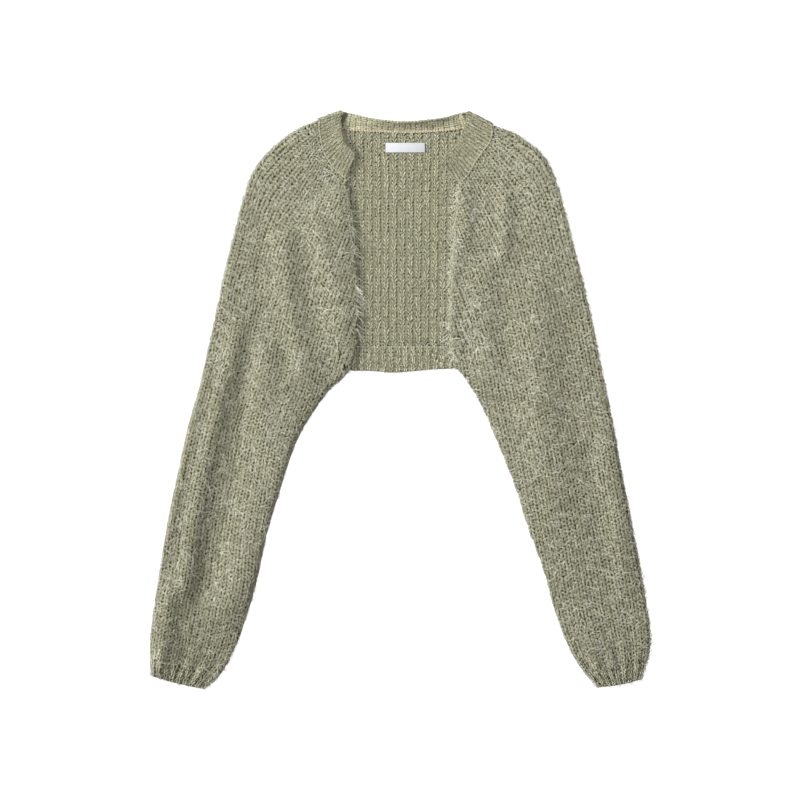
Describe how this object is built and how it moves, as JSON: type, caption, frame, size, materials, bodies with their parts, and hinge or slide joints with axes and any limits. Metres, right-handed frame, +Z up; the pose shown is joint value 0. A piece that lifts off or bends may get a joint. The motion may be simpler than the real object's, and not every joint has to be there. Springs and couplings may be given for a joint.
{
  "type": "knitted shrug",
  "caption": "Cropped long-sleeved knitted shrug laid flat with its open front up, with a ribbed neckband, back hem rib, ribbed cuffs and a blank neck label.",
  "frame": {"origin": "centre of the underside of the shrug's box, on the surface that it lies on", "axes": "+Y runs from the cuffs to the neck, +X to the viewer's right looking down at the open front, +Z up from the surface"},
  "size_m": [0.6261, 0.7235, 0.0172],
  "materials": {
    "brushed_knit": "brushed stockinette knit in a sage wool blend, with a loose halo of pale hairs",
    "rib_knit": "one by one rib in the same sage yarn",
    "woven_label": "plain white woven tape, blank"
  },
  "bodies": {
    "root": {"sleeve_left": "brushed_knit", "sleeve_right": "brushed_knit", "back_panel": "brushed_knit", "hem_rib": "rib_knit", "neckband": "rib_knit", "cuff_left": "rib_knit", "cuff_right": "rib_knit", "neck_label": "woven_label"}
  },
  "joints": []
}
